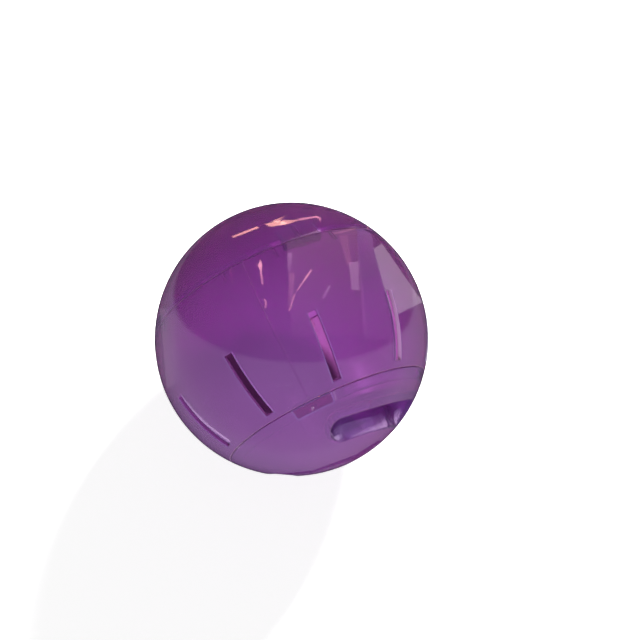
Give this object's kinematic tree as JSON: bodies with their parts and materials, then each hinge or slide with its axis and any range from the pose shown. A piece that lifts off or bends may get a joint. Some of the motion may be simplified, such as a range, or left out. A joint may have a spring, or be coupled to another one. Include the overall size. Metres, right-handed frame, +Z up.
{
  "type": "hamster ball",
  "caption": "Hollow see-through exercise ball for a hamster, with a ring of air slots, a pull-off lid with two finger pockets and a pull-off back shell.",
  "frame": {"origin": "centre of the ball", "axes": "-Y along the ball's axis through the middle of the lid, +Y through the middle of the back shell, +Z up"},
  "size_m": [0.127, 0.127, 0.127],
  "materials": {
    "middle_plastic": "clear purple moulded plastic, polished",
    "lid_plastic": "clear purple moulded plastic, polished",
    "back_plastic": "clear purple moulded plastic, polished"
  },
  "bodies": {
    "middle_shell": {"middle_shell": "middle_plastic"},
    "lid": {"lid": "lid_plastic"},
    "back_shell": {"back_shell": "back_plastic"}
  },
  "joints": [
    {"name": "lid_pull", "type": "slide", "parent": "middle_shell", "child": "lid", "axis": [0, -1, 0], "range_m": [0, 0.08]},
    {"name": "back_pull", "type": "slide", "parent": "middle_shell", "child": "back_shell", "axis": [0, 1, 0], "range_m": [0, 0.08]}
  ]
}
